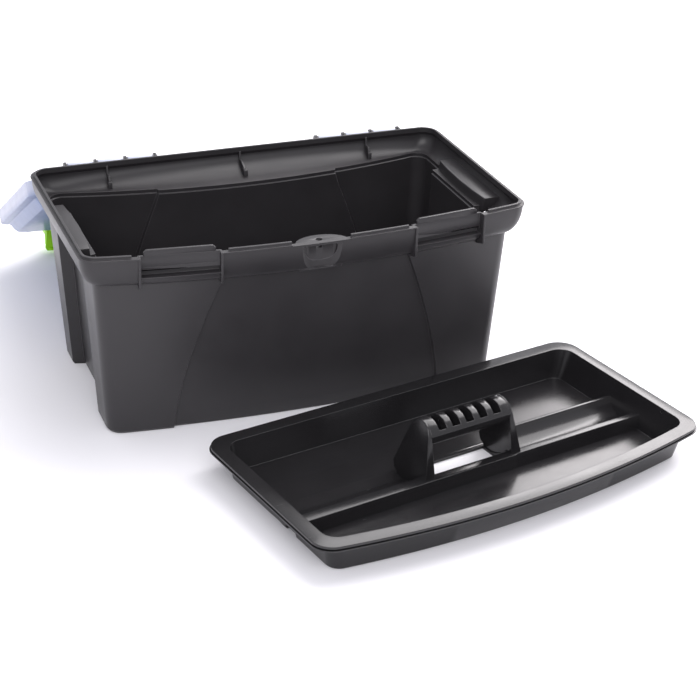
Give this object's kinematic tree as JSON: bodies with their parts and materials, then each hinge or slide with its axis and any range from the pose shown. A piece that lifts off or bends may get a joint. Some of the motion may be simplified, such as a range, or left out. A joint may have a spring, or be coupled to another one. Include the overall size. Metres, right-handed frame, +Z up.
{
  "type": "toolbox with tray",
  "caption": "Open plastic toolbox with a translucent hinged lid, swinging side latches, a folding carry handle and a lift-out tool tray with a fixed arched grip.",
  "frame": {"origin": "centre of the tub's length on its base, at the level the tub stands on", "axes": "+X along the toolbox to its right end, +Y towards the hinges at the back, +Z up; the tray lies in front, at -Y"},
  "size_m": [0.6095, 0.8609, 0.2213],
  "materials": {
    "tub_plastic": "satin",
    "lid_plastic": "translucent satin",
    "steel": "drawn",
    "latch_plastic": "satin",
    "handle_plastic": "satin",
    "tray_plastic": "gloss"
  },
  "bodies": {
    "tub": {"tub": "tub_plastic", "hinge_rod_left": "steel", "hinge_rod_right": "steel"},
    "lid": {"lid": "lid_plastic"},
    "latch_left": {"latch_left": "latch_plastic"},
    "latch_right": {"latch_right": "latch_plastic"},
    "carry_handle": {"carry_handle": "handle_plastic"},
    "tray": {"tray": "tray_plastic"}
  },
  "joints": [
    {"name": "lid_hinge", "type": "hinge", "parent": "tub", "child": "lid", "pos_m": [0, 0.1405, 0.211], "axis": [1, 0, 0], "range_deg": [0, 209.4]},
    {"name": "latch_left_pivot", "type": "hinge", "parent": "lid", "child": "latch_left", "pos_m": [-0.15118, 0.38993, 0.05209], "axis": [0.9925, 0.1062, -0.0598], "range_deg": [-15, 150.78]},
    {"name": "latch_right_pivot", "type": "hinge", "parent": "lid", "child": "latch_right", "pos_m": [0.15118, 0.38993, 0.05209], "axis": [0.9925, -0.1062, 0.0598], "range_deg": [-15, 150.78]},
    {"name": "carry_handle_pivot", "type": "hinge", "parent": "lid", "child": "carry_handle", "pos_m": [0, 0.24969, 0.09209], "axis": [1, 0, 0], "range_deg": [-115, 55]},
    {"name": "tray_lift", "type": "slide", "parent": "tub", "child": "tray", "axis": [0, 0, 1], "range_m": [0, 0.25]}
  ]
}
